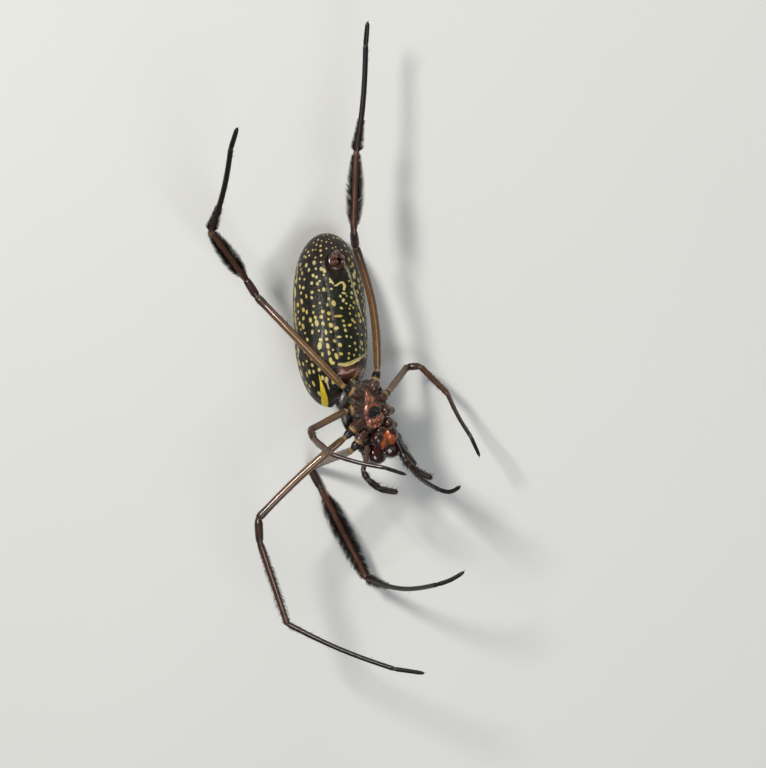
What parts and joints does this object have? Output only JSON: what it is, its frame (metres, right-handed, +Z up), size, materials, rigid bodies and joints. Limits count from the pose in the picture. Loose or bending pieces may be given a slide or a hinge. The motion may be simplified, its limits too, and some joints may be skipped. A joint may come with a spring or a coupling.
{
  "type": "golden silk orb weaver spider model",
  "caption": "Life-size still model of a female golden silk orb weaver on its back: spotted long abdomen, slender brown legs with dark bristle brushes.",
  "frame": {"origin": "middle of the foot of the model's box, on the floor it lies on", "axes": "+Z up, the spider on its back; +Y from the head to the rear end, +X its right"},
  "size_m": [0.0372, 0.0868, 0.0307],
  "materials": {
    "carapace": "silvery short hair over dark brown shell",
    "breast": "glossy reddish-brown shell",
    "jaw": "polished dark red",
    "dark": "glossy black-brown",
    "eye": "polished black",
    "abdomen": "dark olive-black skin with rows of small cream and yellow spots",
    "leg_brown": "glossy olive-brown",
    "leg_black": "black-brown with dense bristles"
  },
  "bodies": {
    "root": {"carapace": "carapace", "sternum": "breast", "mouthparts": "breast", "pedicel": "dark", "chelicera_left": "jaw", "chelicera_right": "jaw", "fang_left": "dark", "fang_right": "dark", "eyes_middle": "eye", "eyes_left": "eye", "eyes_right": "eye", "abdomen": "abdomen", "spinnerets": "dark", "palp_left_base": "breast", "palp_left_end": "leg_black", "palp_right_base": "breast", "palp_right_end": "leg_black", "leg_1_left_coxa": "breast", "leg_1_left_femur": "leg_brown", "leg_1_left_patella": "leg_brown", "leg_1_left_tibia": "leg_black", "leg_1_left_foot": "leg_black", "leg_1_right_coxa": "breast", "leg_1_right_femur": "leg_brown", "leg_1_right_patella": "leg_brown", "leg_1_right_tibia": "leg_black", "leg_1_right_foot": "leg_black", "leg_2_left_coxa": "breast", "leg_2_left_femur": "leg_brown", "leg_2_left_patella": "leg_brown", "leg_2_left_tibia": "leg_black", "leg_2_left_foot": "leg_black", "leg_2_right_coxa": "breast", "leg_2_right_femur": "leg_brown", "leg_2_right_patella": "leg_brown", "leg_2_right_tibia": "leg_black", "leg_2_right_foot": "leg_black", "leg_3_left_coxa": "breast", "leg_3_left_femur": "leg_brown", "leg_3_left_patella": "leg_brown", "leg_3_left_tibia": "leg_black", "leg_3_left_foot": "leg_black", "leg_3_right_coxa": "breast", "leg_3_right_femur": "leg_brown", "leg_3_right_patella": "leg_brown", "leg_3_right_tibia": "leg_black", "leg_3_right_foot": "leg_black", "leg_4_left_coxa": "breast", "leg_4_left_femur": "leg_brown", "leg_4_left_patella": "leg_brown", "leg_4_left_tibia": "leg_black", "leg_4_left_foot": "leg_black", "leg_4_right_coxa": "breast", "leg_4_right_femur": "leg_brown", "leg_4_right_patella": "leg_brown", "leg_4_right_tibia": "leg_black", "leg_4_right_foot": "leg_black"}
  },
  "joints": []
}
